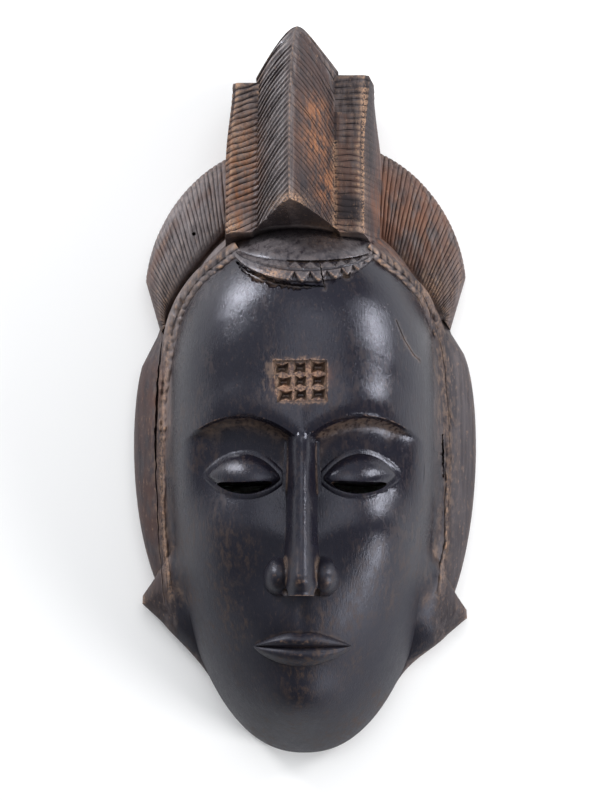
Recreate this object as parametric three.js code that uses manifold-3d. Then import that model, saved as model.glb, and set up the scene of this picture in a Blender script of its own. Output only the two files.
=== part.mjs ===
// A West African face mask carved from one block of wood: a domed face with pierced eyes, hollow behind, under
// a tall keeled crest with a grooved tress on each side, two fan-shaped lobes of hair and a crescent diadem.
// It lies on its back. X is to the viewer's right, Y runs from the chin to the crest, Z comes out of the face.
// The origin is in the plane of the flat back, in the middle of the mask's length and width. Millimetres.
import * as THREE from "three";
import Module from "manifold-3d";
import { mergeVertices } from "three/addons/utils/BufferGeometryUtils.js";

const wasm = await Module();
wasm.setup();

// Driving dimensions
const chinY = -200; // lower end of the face
const crownY = 100; // upper end of the dome, under the crest
const crestY = 200; // the peak of the crest
const widestY = -23; // where the face is widest
const faceHalfWidth = 78;
const domeDepth = 94; // from the back plane to the front of the plain dome
const wall = 12; // thickness of the hollowed shell
const plateEdge = 13; // thickness of the side flanges and lobes at their outer edge
const buried = -6; // how far the forms run below the back plane before it is cut flat
const crestLean = -0.056; // the crest leans to the viewer's left as it comes forward, mm per mm

const clamp = (t) => Math.min(1, Math.max(0, t));
const mix = (a, b, t) => a + (b - a) * t;
const smooth = (from, to, value) => {
  const t = clamp((value - from) / (to - from));
  return t * t * (3 - 2 * t);
};
const bell = (distance, width) => Math.exp(-((distance / width) ** 2));
const range = (count) => Array.from({ length: count + 1 }, (_, i) => i / count);

// A point of a cubic Bezier curve given by four [x, y] points.
function bezier(p, t) {
  const w = [(1 - t) ** 3, 3 * t * (1 - t) ** 2, 3 * t * t * (1 - t), t ** 3];
  return [0, 1].map((axis) => w.reduce((sum, k, i) => sum + k * p[i][axis], 0));
}

// The parameters 0 to 1, bunched where density(t) is high.
function bunched(count, density) {
  const fine = range(400);
  const sums = [0];
  for (let i = 1; i < fine.length; i++) sums.push(sums[i - 1] + density((fine[i] + fine[i - 1]) / 2));
  const total = sums.at(-1);
  return range(count).map((t) => {
    const i = Math.max(1, sums.findIndex((s) => s >= t * total));
    const share = (t * total - sums[i - 1]) / (sums[i] - sums[i - 1]);
    return mix(fine[i - 1], fine[i], share);
  });
}

// Solids from geometry, and back
function solidFrom(geometry) {
  const bare = geometry.clone();
  bare.deleteAttribute("normal");
  bare.deleteAttribute("uv");
  const merged = mergeVertices(bare, 1e-4);
  const made = new wasm.Manifold(
    new wasm.Mesh({
      numProp: 3,
      vertProperties: new Float32Array(merged.attributes.position.array),
      triVerts: new Uint32Array(merged.index.array),
    }),
  );
  return made;
}

// Six times the volume of the tetrahedron between the origin and three points.
const vector = (point) => new THREE.Vector3(...point);
const spanned = ([p, q, s]) => vector(p).dot(vector(q).cross(vector(s)));

// A closed solid between two grids of [x, y, z] points with the same rows and columns.
function between(top, bottom) {
  const rows = top.length;
  const columns = top[0].length;
  const points = [...top.flat(), ...bottom.flat()];
  const lower = rows * columns;
  const at = (r, c) => r * columns + c;
  const apart = (a, b) => Math.hypot(...points[a].map((value, axis) => value - points[b][axis]));
  const faces = [];
  for (let r = 0; r < rows - 1; r++)
    for (let c = 0; c < columns - 1; c++) {
      const [a, b, d, e] = [at(r, c), at(r, c + 1), at(r + 1, c), at(r + 1, c + 1)];
      const pair = apart(a, e) <= apart(b, d) ? [[a, b, e], [a, e, d]] : [[a, b, d], [b, e, d]];
      faces.push(...pair, ...pair.map((face) => face.map((i) => lower + i).reverse()));
    }
  const rim = [];
  for (let c = 0; c < columns - 1; c++) rim.push(at(0, c));
  for (let r = 0; r < rows - 1; r++) rim.push(at(r, columns - 1));
  for (let c = columns - 1; c > 0; c--) rim.push(at(rows - 1, c));
  for (let r = rows - 1; r > 0; r--) rim.push(at(r, 0));
  rim.forEach((a, i) => {
    const b = rim[(i + 1) % rim.length];
    faces.push([a, lower + a, lower + b], [a, lower + b, b]);
  });
  const volume = faces.reduce((sum, face) => sum + spanned(face.map((i) => points[i])), 0);
  if (volume < 0) faces.forEach((f) => f.reverse());
  const geometry = new THREE.BufferGeometry();
  geometry.setAttribute("position", new THREE.Float32BufferAttribute(points.flat(), 3));
  geometry.setIndex(faces.flat());
  return solidFrom(geometry);
}

// The same grid, laid flat at height z.
const flatAt = (grid, z) => grid.map((row) => row.map(([x, y]) => [x, y, z]));

// A box given by its size, its centre and its turn about X, for cutting.
function block(size, centre, turnX = 0) {
  const geometry = new THREE.BoxGeometry(...size).toNonIndexed();
  geometry.applyMatrix4(new THREE.Matrix4().makeRotationX(turnX).setPosition(...centre));
  return solidFrom(geometry);
}

// The dome's plan is an egg: along the face y = widest + mean s - skew s^2, with s from -1 at the chin to 1.
const eggMean = (crownY - chinY) / 2;
const eggSkew = (widestY - chinY - (crownY - widestY)) / 2;
const eggPower = 2.25; // a little fuller than an ellipse
const rimShare = 0.988;
const browShare = 0.47; // where the rows of the face's grid reach the brows
const eggY = (s) => widestY + eggMean * s - eggSkew * s * s;
const eggS = (y) => {
  const inside = Math.max(0, eggMean ** 2 - 4 * eggSkew * (y - widestY));
  return (eggMean - Math.sqrt(inside)) / (2 * eggSkew);
};
const eggRadius = (x, y) =>
  (Math.abs(x / faceHalfWidth) ** eggPower + Math.abs(eggS(y)) ** eggPower) ** (1 / eggPower);

// The point of the plan at a share r of the way out, in direction angle.
function eggPoint(r, angle) {
  const [c, s] = [Math.cos(angle), Math.sin(angle)];
  const k = r / (Math.abs(c) ** eggPower + Math.abs(s) ** eggPower) ** (1 / eggPower);
  return [faceHalfWidth * k * c, eggY(k * s)];
}

// Height of the plain dome over the back plane. Its curve stops short of its foot, on a low upright rim.
function domeZ(x, y) {
  const r = Math.min(1, rimShare * eggRadius(x, y));
  return domeDepth * (1 + 0.04 * eggS(y)) * (1 - r ** 2.9) ** 0.52;
}

// The face, calm and even: thirds from hairline to brow, brow to nose and nose to chin, and five eyes wide.
const hairlineY = 60;
const third = (hairlineY - chinY) / 3;
const browY = hairlineY - third;
const noseBaseY = browY - third;
const mouthY = noseBaseY - third / 3;
const eyeY = (crownY + chinY) / 2; // half-way down the head
const eyeWidth = (2 * faceHalfWidth) / 5;
const eyeX = eyeWidth;

const socketDepth = 10;
const socketFade = (ax) => smooth(2, 7, ax) * (1 - smooth(44, 68, ax));

// The lower edge of the brow: a shallow arch over each eye.
const browLine = (x) => browY + 9 - 0.0125 * (Math.abs(x) - 34) ** 2;

// The dome with its broad forms: muzzle, chin, cheekbones and brow bone, and the sockets that lie back under a
// crisp brow and run out over the cheeks.
function groundZ(x, y) {
  const ax = Math.abs(x);
  const below = browLine(x) - y;
  const muzzle = 10 * bell(Math.hypot(x / 33, (y - mouthY - 5) / 30), 1);
  const chin = 13 * bell(Math.hypot(x / 25, (y - chinY - 27) / 17), 1);
  const cheek = 3.5 * bell(Math.hypot((ax - 45) / 20, (y - noseBaseY - 24) / 22), 1);
  const brow = 2.5 * bell(below + 6, 12) * (1 - smooth(40, 66, ax));
  const socket = socketDepth * (1 - Math.exp(-Math.max(0, below) / 2.6)) * (1 - smooth(18, 62, below));
  return domeZ(x, y) + muzzle + chin + cheek + brow - socket * socketFade(ax);
}

// A square grid wrapped over the dome without a pole. u and v run from -1 to 1.
function domePoint(u, v) {
  const [a, b] = [u * Math.sqrt(1 - (v * v) / 2), v * Math.sqrt(1 - (u * u) / 2)];
  const out = Math.min(1, Math.hypot(a, b));
  return eggPoint(1.4 * out - 0.4 * out ** 3, Math.atan2(b, a));
}

// The front of the face, closed below the back plane. Its rows bend to follow the brows.
function dome() {
  const across = bunched(20, (t) => 1 + 0.5 * bell(t - 0.5, 0.3)).map((t) => 2 * t - 1);
  const along = bunched(30, (t) => 1 + 2.2 * bell(t - browShare, 0.05)).map((t) => 2 * t - 1);
  const top = along.map((v) =>
    across.map((u) => {
      const [x, flatY] = domePoint(u, v);
      const onRim = Math.abs(u) === 1 || Math.abs(v) === 1;
      const y = flatY + (onRim ? 0 : (browLine(x) - browY) * bell(flatY - browY, 34) * (1 - u ** 6));
      return [x, y, groundZ(x, y)];
    }),
  );
  return between(top, flatAt(top, buried));
}

// The lowered lid: an almond left standing in the socket, on a low rim.
function eyelid(side, size, height, rounded) {
  const [halfLength, rise, drop] = [20, 12.5, 10.5];
  const levels = rounded ? [-1, -0.86, -0.45, 0, 0.45, 0.86, 1] : [-1, -0.94, 0.94, 1];
  const almond = levels.map((v) =>
    range(8).map((t) => {
      const u = Math.sin((t - 0.5) * Math.PI);
      const spread = (1 - u * u) ** 0.85 + 0.02;
      const x = eyeX + halfLength * size * u;
      const y = eyeY + (v > 0 ? rise : drop) * size * spread * v + 1.2 * u;
      const floor = groundZ(x, y) - 1;
      const bulge = Math.sqrt(Math.max(0, 1 - v * v)) * Math.max(0, 1 - u * u) ** 0.3;
      const flat = Math.abs(v) === 1 || Math.abs(u) === 1 ? 0.4 : 1;
      return [side * x, y, rounded ? floor + height * bulge : floor + 1 + height * flat];
    }),
  );
  return between(almond, flatAt(almond, 40));
}

// The nose: a long straight bridge, widening evenly to a rounded tip.
function nose() {
  const tip = 25;
  const bridge = [0, 0.08, 0.2, 0.6, 0.9, 0.96, 1].map((t) =>
    range(8).map((column) => {
      const u = 2 * column - 1;
      const half = mix(8, 14, t ** 1.5);
      const y = mix(browY + 3, noseBaseY - 1, t);
      const height = mix(1, tip, t ** 1.25) - 2 * (1 - smooth(0, 0.1, t));
      const drop = 1 - (1 - Math.abs(u) ** 2.2) ** 0.75;
      const z = groundZ(0, y) + height - drop * (height + 13) - 9 * smooth(0.88, 1, t) ** 2;
      return [half * u, y, z];
    }),
  );
  return between(bridge, flatAt(bridge, 40));
}

// A rounded wing of the nose.
function noseWing(side) {
  const steps = range(6).map((t) => 2 * t - 1);
  const [centreX, centreY] = [11.5, noseBaseY + 8.5];
  const top = steps.map((v) =>
    steps.map((u) => {
      const [a, b] = [u * Math.sqrt(1 - (v * v) / 2), v * Math.sqrt(1 - (u * u) / 2)];
      const z = groundZ(centreX, centreY) - 3 + 15 * Math.sqrt(Math.max(0, 1 - a * a - b * b));
      return [side * (centreX + 8.5 * a), centreY + 11 * b, z];
    }),
  );
  return between(top, flatAt(top, 40));
}

// The lips: full and closed, with a crisp edge.
function lip(upper) {
  const halfWidth = 0.85 * eyeWidth;
  const roll = (v) => Math.sin(Math.PI * (0.1 + (upper ? 0.84 * v ** 0.8 : 0.8 * v))) ** 0.7;
  const top = range(4).map((v) =>
    range(10).map((t) => {
      const u = 2 * t - 1;
      const parting = mouthY + 0.9 * u * u;
      const bow = 8.4 * (1 - Math.abs(u) ** 1.7) * (1 - 0.15 * bell(u, 0.15)) + 0.15;
      const fall = 10 * (1 - u * u) ** 0.75 + 0.15;
      const [x, y] = [halfWidth * u, parting + (upper ? bow : -fall) * v];
      const z = groundZ(x, y) - 1 + (upper ? 7 : 7.8) * (1 - u * u) ** 0.4 * roll(v);
      return [x, y, z];
    }),
  );
  return between(top, flatAt(top, 20));
}

// The hollow behind the face.
function hollow() {
  const steps = range(12).map((t) => 2 * t - 1);
  const shrink = (faceHalfWidth - 9) / faceHalfWidth;
  const top = steps.map((v) =>
    steps.map((u) => {
      const [x, y] = domePoint(u, v);
      const [inX, inY] = [x * shrink, widestY + (y - widestY) * shrink];
      const z = domeZ(x, y) * ((domeDepth - wall - 12) / domeDepth);
      return [inX, inY, z];
    }),
  );
  return between(top, flatAt(top, 2 * buried));
}

// A slit under each upper eyelid, cut right through: wide in front and narrow behind.
function eyeSlit(side) {
  const row = (half, k) => range(10).map((t) => {
    const s = 2 * t - 1;
    return [side * eyeX + (half + 12) * s, eyeY - 6.5 + 2.6 * s * s + k * half * Math.sqrt(1.02 - s * s)];
  });
  const slice = (half, z) => [-1, 0, 1].map((k) => row(half, k).map(([x, y]) => [x, y, z]));
  const mouth = between(slice(3.6, domeDepth + 6), slice(1.9, 64));
  return mouth.add(between(slice(1.9, 65), slice(1.9, 20)));
}

// The scar panel on the forehead: a sunk square with nine pits, three by three, between raised bars.
function scarPanel() {
  const [width, height, centreX, centreY] = [28, 21.5, -1, 0.8];
  const corners = [-0.5, 0.5];
  const patch = (x, y, w, h, depth, flare) => {
    const square = (scale, lift) =>
      corners.map((v) =>
        corners.map((u) => [x + w * u * scale, y + h * v * scale, groundZ(x + w * u, y + h * v) + lift]),
      );
    return between(square(1, -depth), square(flare, 4));
  };
  let cut = patch(centreX, centreY, width, height, 1, 1);
  for (const i of [-1, 0, 1]) {
    for (const j of [-1, 0, 1]) cut = cut.add(patch(centreX + 9.2 * i, centreY + 7 * j, 6, 4.6, 3.4, 1.25));
  }
  return cut;
}

// The side flange, from the lobe's foot past the widest point to the barb, and back to the jaw.
// The left flange has a square shoulder, and the right barb sits lower than the left.
function flange(side) {
  const barbDrop = side < 0 ? 0 : 8;
  const notch = [83.5, -103.5 - barbDrop];
  const shoulder = side < 0 ? [91, 15] : [89, 22];
  const curve = side < 0 ? [shoulder, [97.5, -10], [98, -66], notch] : [shoulder, [98, 2], [99.5, -66], notch];
  const jawAngle = -0.29 * Math.PI;
  const jaw = eggPoint(1, jawAngle);
  const above = eggPoint(1, jawAngle + 0.06);
  const approach = [0, 1].map((i) => mix(jaw[i], above[i], 2.2));
  const barb = [79.5, -127.5 - barbDrop * 0.9];
  const outline = [[76, 52], [81, 35], ...range(12).map((t) => bezier(curve, t))];
  outline.push([90.2, -113 - barbDrop], [90.4, -117.5 - barbDrop], barb);
  outline.push(...range(4).slice(1).map((t) => bezier([barb, [72, -137 - barbDrop * 0.8], approach, jaw], t)));
  const across = [0, 0.6, 0.86, 0.96, 1];
  const heights = [28, 25, 19, 15.5, plateEdge];
  const top = outline.map((point, i) => {
    const share = i / (outline.length - 1);
    const inner = eggPoint(0.86, mix(0.22 * Math.PI, jawAngle, share));
    const low = mix(0.55, 1, smooth(0, 0.16, 1 - share) * smooth(-0.03, 0.1, share));
    return across.map((t, j) => {
      const [x, y] = [0, 1].map((axis) => mix(inner[axis], point[axis], t));
      return [side * x, y, low * heights[j]];
    });
  });
  return between(top, flatAt(top, buried));
}

// The raised strip of hair round the face: a rounded band from the diadem to the barb.
function strip(side) {
  const out = side < 0 ? 0 : 1.4;
  const bend = [[37, 73], [53.7, 62.8], [65.6, 50], [73.8, 29]];
  const straight = [[77.6 + out, -5], [77.4 + out, -45], [75 + out, -85], [70, -117]];
  const path = new THREE.CatmullRomCurve3(
    [...bend, ...straight].map(([x, y]) => new THREE.Vector3(x, y, Math.max(27, domeZ(0.95 * x, 0.97 * y)))),
  );
  const across = [-1, -0.6, 0.3, 1];
  const halfWidth = 4.8;
  const rise = [-4, 2.4, 1.8, -5];
  const top = range(14).map((t) => {
    const p = path.getPoint(t);
    const d = path.getTangent(t).setZ(0).normalize();
    const beside = (a) => [side * (p.x - d.y * a * halfWidth), p.y + d.x * a * halfWidth];
    return across.map((a, j) => [...beside(a), p.z + rise[j] - a * 3]);
  });
  return between(top, top.map((row) => row.map(([x, y, z]) => [x, y, z - 12])));
}

// A fan-shaped lobe of hair, its grooves running from the hairline out to the edge.
function lobe(side) {
  const grooves = 36;
  const grooveDepth = 1.1;
  const arc = [[42, 135.2], [67, 124], [87.2, 96], [90.2, 65]];
  const foot = [81.5, 35.5];
  const arcShare = 0.76;
  const outer = (t) => {
    const past = (t - arcShare) / (1 - arcShare);
    return past < 0 ? bezier(arc, t / arcShare) : [0, 1].map((axis) => mix(arc[3][axis], foot[axis], past));
  };
  const innerCurve = [[40, 88], [57, 71], [69.5, 54.5], [77.5, 40]];
  const inner = (t) => bezier(innerCurve, t + 0.9 * t * t * (1 - t));
  const across = [-0.4, 0.12, 0.62, 1];
  const heights = [18, 26.5, 27, plateEdge];
  const top = range(2 * grooves).map((t, row) => {
    const valley = row % 2 === 0;
    return across.map((s, j) => {
      const reach = s === 1 && valley ? 0.992 : s;
      const [x, y] = [0, 1].map((i) => mix(inner(t)[i], outer(t)[i], reach));
      const cut = valley && j > 0 ? grooveDepth : 0;
      const swell = 1 - 0.35 * smooth(0.8, 1, t);
      const z = plateEdge + (heights[j] - plateEdge) * swell - cut;
      return side < 0 ? [-0.986 * x, y - 2, z] : [x, y, z];
    });
  });
  const tucked = top[0].map(([x, y, z]) => [x - side * 8, y, z - 1]);
  const fan = [tucked, ...top];
  return between(fan, flatAt(fan, buried));
}

// The tress on each side of the crest: a block with level grooves across its front.
const tressFrontZ = 68;
const ridgeFrontZ = 114;
const tressBottomY = 74;
const recede = (y) => Math.sqrt(1 - clamp((y - 127) / 76) ** 2); // the crest falls back towards its top
const tressOuter = (side, y) => (side < 0 ? mix(38.6, 35.4, smooth(125, 168, y)) : 37.6);
const tressFoot = (side, y) => mix(side < 0 ? 44 : 43, side < 0 ? 37 : 38, smooth(118, 170, y));
function tress(side) {
  const grooves = 28;
  const grooveDepth = 1.2;
  const inside = 20.5;
  const slope = side < 0 ? [12, 22] : [3, -8]; // degrees that the grooves rise towards the viewer's right
  const topY = side < 0 ? 167.8 : 172.2;
  const shares = [0, 0.82, 1];
  const top = range(2 * grooves).map((t, row) => {
    const rise = Math.tan(THREE.MathUtils.degToRad(mix(slope[1], slope[0], t))) * (1 - smooth(0.97, 1, t));
    const middle = mix(tressBottomY, topY, t);
    return shares.map((share) => {
      const a = mix(inside, tressOuter(side, middle), share);
      const y = middle + rise * side * (a - 29.5);
      const z = 25 + (tressFrontZ - 25) * recede(y) - (share === 1 ? 3 : 0) - (row % 2 ? 0 : grooveDepth);
      return [side * a + crestLean * z, y, z];
    });
  });
  const bottom = top.map((row) =>
    row.map(([, y], j) => {
      const a = j === 2 ? tressFoot(side, y) : mix(inside, tressOuter(side, y), shares[j]);
      return [side * a, y, j === 2 ? 22 : buried];
    }),
  );
  return between(top, bottom);
}

// The block behind both tresses, whose sides spread towards the back.
function crestCore() {
  const sides = [-1, -0.5, 0.5, 1];
  const top = range(6).map((t) => {
    const y = mix(72, 169, t);
    return sides.map((s) => {
      const z = 25 + (tressFrontZ - 25) * recede(y) - 5;
      return [s * tressOuter(s, y) + crestLean * z, y + s * 1.8 * t, z];
    });
  });
  const bottom = top.map((row) => row.map(([, y], j) => [sides[j] * tressFoot(sides[j], y), y, buried]));
  return between(top, bottom);
}

// The keel between the tresses: chevron grooves on two faces that meet in a forward ridge.
function keel() {
  const grooves = 41;
  const grooveDepth = 1.1;
  const halfWidth = 22.5;
  const [ridgeTopY, ridgeEndY] = [197, 80];
  const peak = (d) => crestY - (d < 0 ? 1.5 : 1.3) * (Math.hypot(d, 3.2) - 3.2);
  const across = [-1, -0.55, 0, 0.55, 1];
  const faceRise = (y, f) => {
    const valley = 22 + (tressFrontZ - 24) * recede(y);
    const ridge = 45 + (ridgeFrontZ - 45) * Math.sqrt(1 - clamp((y - 124) / 77) ** 2);
    return mix(ridge, valley, f ** 0.9);
  };
  const top = range(2 * grooves).map((t, row) =>
    across.map((f) => {
      const d = f * halfWidth;
      const drop = (f < 0 ? 24 : 36) * (0.45 * Math.abs(f) + 0.55 * f * f);
      const hanging = mix(ridgeTopY, ridgeEndY, t) - drop;
      const y = mix(peak(d), hanging, smooth(0, 0.09, t));
      const z = faceRise(y, Math.abs(f)) - (row % 2 && row > 1 ? grooveDepth : 0) - (row ? 0 : 2);
      return [d + crestLean * z, y, z];
    }),
  );
  return between(top, top.map((row) => row.map(([x, y, z]) => [x, y, buried])));
}

// The crest's underside is a shallow vault that slopes up towards the front, and its top is bevelled behind.
function crest() {
  const made = crestCore().add(tress(-1)).add(tress(1)).add(keel());
  const ceiling = [-60, 130].map((z) =>
    [-100, ...range(8).map((t) => 48 * t - 24), 100].map((x) => {
      const vault = 5 * Math.sqrt(Math.max(0, 1 - (x / 24) ** 2));
      return [x + crestLean * z, 84.5 + 0.22 * (z - tressFrontZ) + vault, z];
    }),
  );
  const under = between(ceiling, ceiling.map((row) => row.map(([x, y, z]) => [x, y - 120, z])));
  const bevel = [[150, -1], [230, 28]].map(([y, z]) => [-100, 100].map((x) => [x, y, z]));
  return made.subtract(under).subtract(between(bevel, flatAt(bevel, -60)));
}

// The crescent diadem at the top of the forehead, with the smooth cap above it.
function diadem() {
  const teeth = 11;
  const lowerEdge = (t) => bezier([[-40, 78], [-32, 47.5], [30, 47.5], [39.5, 72.5]], t);
  const upperEdge = (t) => bezier([[-39, 81], [-20, 92], [20, 92], [39, 80]], t);
  const across = [0, 0.06, 0.34, 0.44, 0.6, 1];
  const heights = [-3, 4.4, 4.8, 2.4, 3.6, 1.6];
  const rows = 4 * teeth;
  const top = range(rows).map((t, row) => {
    const [lowX, lowY] = lowerEdge(t);
    const [highX, highY] = upperEdge(t);
    const cut = t > 0.4 && t < 0.97 && row % 4 < 2;
    return across.map((s, j) => {
      const [x, y] = [mix(lowX, highX, s), mix(lowY, highY, s)];
      const chip = cut && j > 0 && j < 2 ? 2.4 : 0;
      return [x, y, domeZ(x, y) + heights[j] * Math.min(1, 0.4 + 8 * Math.min(t, 1 - t)) - chip];
    });
  });
  return between(top, top.map((row) => row.map(([x, y, z]) => [x, y, z - 14])));
}

function mask() {
  let made = dome();
  for (const side of [-1, 1]) {
    made = made.add(eyelid(side, 1.17, 1.5, false)).add(eyelid(side, 1, 10.5, true)).add(noseWing(side));
    made = made.add(flange(side)).add(lobe(side)).add(strip(side));
  }
  made = made.add(nose()).add(lip(true)).add(lip(false));
  made = made.add(crest()).add(diadem());
  made = made.subtract(scarPanel()).subtract(hollow());
  for (const side of [-1, 1]) made = made.subtract(eyeSlit(side));
  return made.subtract(block([300, 500, 40], [0, 0, -20]));
}

// A manifold solid as a three.js mesh.
function meshOf(solid, name, material) {
  const { vertProperties, triVerts, numProp } = solid.getMesh();
  const geometry = new THREE.BufferGeometry();
  const positions = new Float32Array((vertProperties.length / numProp) * 3);
  for (let i = 0; i < positions.length / 3; i++) {
    positions.set(vertProperties.subarray(i * numProp, i * numProp + 3), i * 3);
  }
  geometry.setAttribute("position", new THREE.BufferAttribute(positions, 3));
  geometry.setIndex(new THREE.BufferAttribute(new Uint32Array(triVerts), 1));
  geometry.computeVertexNormals();
  const mesh = new THREE.Mesh(geometry, material);
  mesh.name = name;
  return mesh;
}

const darkWood = new THREE.MeshStandardMaterial({ color: 0x2a211d, roughness: 0.45, metalness: 0 });

const part = new THREE.Group();
part.add(meshOf(mask(), "mask", darkWood));

export default part;
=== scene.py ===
import bpy
import numpy as np
from mathutils import Matrix, Vector
from mathutils.bvhtree import BVHTree


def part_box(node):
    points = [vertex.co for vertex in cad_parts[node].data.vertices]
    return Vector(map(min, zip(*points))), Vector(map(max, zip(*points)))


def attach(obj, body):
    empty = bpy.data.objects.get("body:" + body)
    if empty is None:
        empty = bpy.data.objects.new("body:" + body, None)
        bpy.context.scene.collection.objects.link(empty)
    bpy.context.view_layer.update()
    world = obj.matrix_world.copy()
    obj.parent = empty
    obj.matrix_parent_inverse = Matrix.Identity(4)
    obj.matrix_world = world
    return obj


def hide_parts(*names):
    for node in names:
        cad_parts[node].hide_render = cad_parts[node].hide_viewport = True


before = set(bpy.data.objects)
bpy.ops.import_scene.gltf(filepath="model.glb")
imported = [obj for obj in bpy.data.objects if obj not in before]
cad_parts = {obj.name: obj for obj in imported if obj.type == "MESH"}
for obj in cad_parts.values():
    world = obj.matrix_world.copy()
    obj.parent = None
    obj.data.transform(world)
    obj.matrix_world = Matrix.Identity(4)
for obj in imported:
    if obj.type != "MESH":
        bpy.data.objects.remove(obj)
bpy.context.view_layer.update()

# The dome of the face. The mask is carved from one block of wood, and everything else grows out of this
# egg-shaped dome, which lies on its back: X to the viewer's right, Y from the chin to the crest, Z out of
# the face. It was adzed to shape, smoothed with a knife and a rough leaf, blackened and oiled.
back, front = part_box("mask")
mm = (front[1] - back[1]) / 400  # one millimetre on a mask 400 mm long
chin_y, crown_y, widest_y = -200, 100, -23
face_half_width = 78
dome_depth = 94
rim_share = 0.988  # the dome's curve stops short of its foot, on a low upright rim
egg_power = 2.25
egg_mean = (crown_y - chin_y) / 2
egg_skew = (widest_y - chin_y - (crown_y - widest_y)) / 2
buried = -6  # the forms run on below the back plane, which is then cut flat
polished, hair, inside = 0, 1, 2  # the three finishes, kept on the faces

hairline_y = 60
third = (hairline_y - chin_y) / 3  # hairline to brow, brow to nose, nose to chin
brow_y = hairline_y - third
nose_base_y = brow_y - third
mouth_y = nose_base_y - third / 3
socket_depth = 10


def smooth(low, high, value):
    """0 below low, 1 above high, and an S-curve between them."""
    t = np.clip((value - low) / (high - low), 0, 1)
    return t * t * (3 - 2 * t)


def bell(distance, width):
    """A Gaussian bump: e to the minus (distance over width) squared."""
    return np.exp(-((distance / width) ** 2))


def mix(a, b, t):
    """The point a share t of the way from a to b."""
    return a + (b - a) * t


def egg_y(s):
    """Height along the face for s from -1 at the chin to 1 at the crown: a parabola that puts the widest
    place above the middle."""
    return widest_y + egg_mean * s - egg_skew * s * s


def egg_s(y):
    """The inverse of egg_y, by the quadratic formula."""
    under_root = np.maximum(0, egg_mean**2 - 4 * egg_skew * (y - widest_y))
    return (egg_mean - np.sqrt(under_root)) / (2 * egg_skew)


def egg_radius(x, y):
    """The share of the way out to the egg's outline, a superellipse in x and s."""
    s = np.abs(egg_s(y))
    return (np.abs(x / face_half_width) ** egg_power + s**egg_power) ** (1 / egg_power)


def egg_point(r, angle):
    """The point a share r of the way out to the egg's outline, in the direction angle."""
    c, s = np.cos(angle), np.sin(angle)
    k = r / (np.abs(c) ** egg_power + np.abs(s) ** egg_power) ** (1 / egg_power)
    return face_half_width * k * c, egg_y(k * s)


def dome_z(x, y):
    """Height of the plain dome: a flattened arch in the share r of the way out to the outline."""
    r = np.minimum(1, rim_share * egg_radius(x, y))
    return dome_depth * (1 + 0.04 * egg_s(y)) * (1 - r**2.9) ** 0.52


def brow_line(x):
    """The lower edge of the brow: a shallow arch over each eye, highest over its middle."""
    return brow_y + 9 - 0.0125 * (np.abs(x) - 34) ** 2


def ground_z(x, y):
    """The dome with its broad forms, each a Gaussian: muzzle, chin, cheekbones and brow bone. Under the crisp
    brow the sockets lie back, and run out over the cheeks."""
    ax = np.abs(x)
    below = brow_line(x) - y
    muzzle = 10 * bell(np.hypot(x / 33, (y - mouth_y - 5) / 30), 1)
    chin = 13 * bell(np.hypot(x / 25, (y - chin_y - 27) / 17), 1)
    cheek = 3.5 * bell(np.hypot((ax - 45) / 20, (y - nose_base_y - 24) / 22), 1)
    brow = 2.5 * bell(below + 6, 12) * (1 - smooth(40, 66, ax))
    philtrum = 1.2 * bell(x, 3.2) * bell(y - mix(mouth_y, nose_base_y, 0.62), 8)
    socket = socket_depth * (1 - np.exp(-np.maximum(0, below) / 1.9)) * (1 - smooth(18, 62, below))
    sides = smooth(2, 7, ax) * (1 - smooth(44, 68, ax))
    return dome_z(x, y) + muzzle + chin + cheek + brow - philtrum - socket * sides


def ripple(points, wavelength, seed, waves=20):
    """Slow uneven swell of about -1 to 1: plane waves with random directions and phases, added up."""
    rng = np.random.default_rng(seed)
    direction = rng.normal(size=(waves, 3))
    direction /= np.linalg.norm(direction, axis=1, keepdims=True)
    length = wavelength * rng.uniform(0.7, 1.5, (waves, 1))
    phase = rng.uniform(0, 2 * np.pi, waves)
    return np.cos(points @ (2 * np.pi * direction / length).T + phase).sum(axis=-1) / np.sqrt(waves)


def bunched(count, density):
    """count + 1 values from 0 to 1, closest where density is high: its running sum, read backwards."""
    fine = np.linspace(0, 1, 801)
    total = np.concatenate([[0], np.cumsum(density((fine[1:] + fine[:-1]) / 2))])
    return np.interp(np.linspace(0, 1, count + 1), total / total[-1], fine)


def grid(*axes):
    """Stacks x, y and z arrays, spread to one shape, into a grid of points."""
    return np.stack(np.broadcast_arrays(*axes), axis=-1).astype(float)


def dropped(top, z):
    """The same grid of points laid flat at height z."""
    return grid(top[..., 0], top[..., 1], z)


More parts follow.
